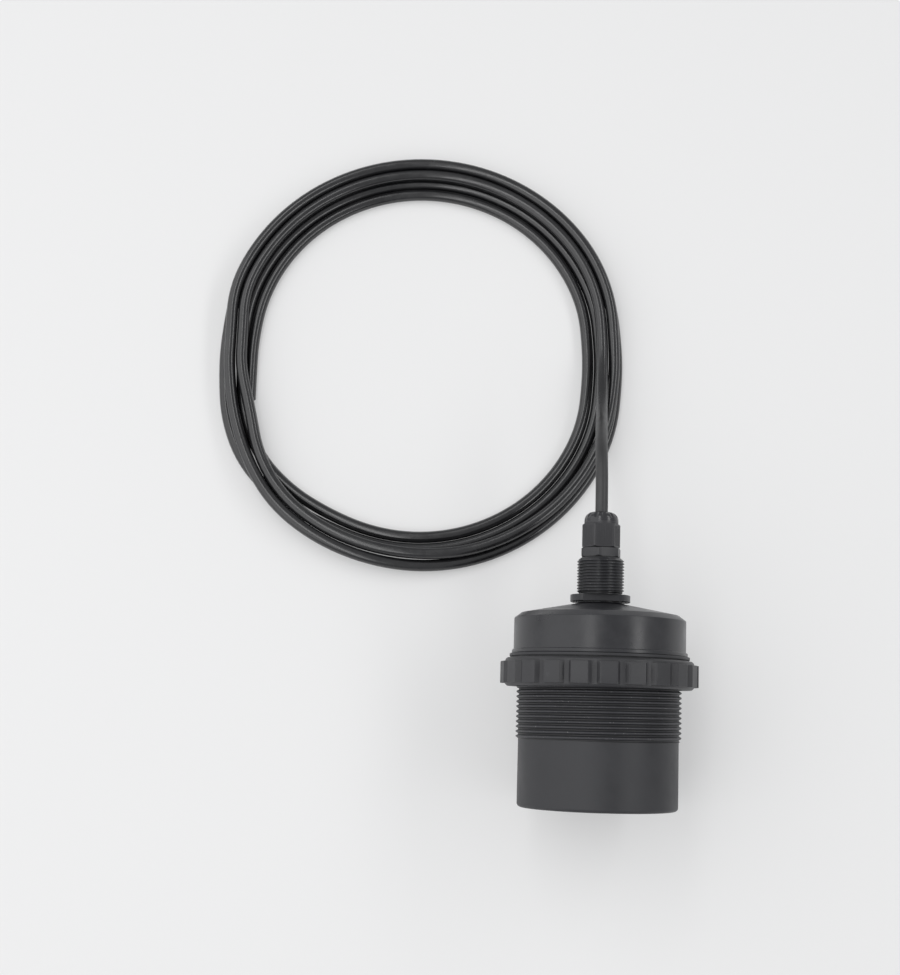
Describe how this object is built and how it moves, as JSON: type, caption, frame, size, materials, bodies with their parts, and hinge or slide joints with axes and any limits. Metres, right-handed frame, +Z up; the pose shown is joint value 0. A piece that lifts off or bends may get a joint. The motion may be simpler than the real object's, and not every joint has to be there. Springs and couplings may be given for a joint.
{
  "type": "ultrasonic level sensor",
  "caption": "Ultrasonic level sensor with a wide sensing barrel, tabbed lock nut, domed head with a pipe-thread stub, and a cable gland with a coiled lead.",
  "frame": {"origin": "middle of the sensor's bounding box, on the surface it lies on", "axes": "+Z up; the sensor lies on its side with its axis in the YZ plane, gland towards +Y and sensing face towards -Y; the coil of cable lies towards +Y and -X"},
  "size_m": [0.3628, 0.5303, 0.1388],
  "materials": {
    "housing_plastic": "satin",
    "nut_plastic": "matt",
    "seal_rubber": "matt",
    "gland_plastic": "satin",
    "cable_jacket": "gloss",
    "syntactic_foam": "matt",
    "horn_aluminium": "turned",
    "piezo_ceramic": "matt",
    "contact_brass": "bright",
    "stack_steel": "turned",
    "damping_rubber": "matt",
    "potting_resin": "satin",
    "wire_plastic": "gloss",
    "board_laminate": "satin",
    "block_plastic": "satin"
  },
  "bodies": {
    "housing": {"threaded_barrel": "housing_plastic", "head_cap": "housing_plastic", "housing_o_ring": "seal_rubber", "gland_washer": "seal_rubber", "gland_body": "gland_plastic", "matching_layer": "syntactic_foam", "radiating_horn": "horn_aluminium", "piezo_ring_lower": "piezo_ceramic", "piezo_ring_upper": "piezo_ceramic", "electrode_centre": "contact_brass", "electrode_rear": "contact_brass", "tail_mass": "stack_steel", "stress_bolt": "stack_steel", "damping_ring": "damping_rubber", "backing_foam": "damping_rubber", "potting_compound": "potting_resin", "temperature_probe": "stack_steel", "probe_lead": "wire_plastic", "transducer_leads": "wire_plastic", "circuit_board": "board_laminate", "board_posts": "board_laminate", "board_screws": "stack_steel", "terminal_block": "block_plastic", "pulse_transformer": "piezo_ceramic", "storage_capacitor": "horn_aluminium", "processor_chip": "potting_resin", "cable_cores": "wire_plastic", "cable_entry": "cable_jacket", "cable_lead": "cable_jacket", "cable_coil": "cable_jacket"},
    "gasket": {"flange_gasket": "seal_rubber"},
    "lock_nut": {"lock_nut": "nut_plastic"},
    "gland_insert": {"gland_seal": "seal_rubber"},
    "dome_nut": {"gland_dome_nut": "gland_plastic"}
  },
  "joints": [
    {"name": "lock_nut_turn", "type": "hinge", "parent": "housing", "child": "gasket", "pos_m": [0, -0.01656, 0.06793], "axis": [0, 0.9874, 0.1582], "range_deg": [-3600, 0]},
    {"name": "lock_nut_travel", "type": "slide", "parent": "gasket", "child": "lock_nut", "axis": [0, 0.9874, 0.1582], "range_m": [-0.0344, 0]},
    {"name": "dome_nut_turn", "type": "hinge", "parent": "housing", "child": "gland_insert", "pos_m": [0, 0.08899, 0.08484], "axis": [0, 0.9874, 0.1582], "range_deg": [0, 1440]},
    {"name": "dome_nut_travel", "type": "slide", "parent": "gland_insert", "child": "dome_nut", "axis": [0, 0.9874, 0.1582], "range_m": [0, 0.006]}
  ],
  "couplings": [
    {"joint": "lock_nut_turn", "follows": "lock_nut_travel", "rad_per_m": 1826.5},
    {"joint": "dome_nut_turn", "follows": "dome_nut_travel", "rad_per_m": 4188.8}
  ]
}
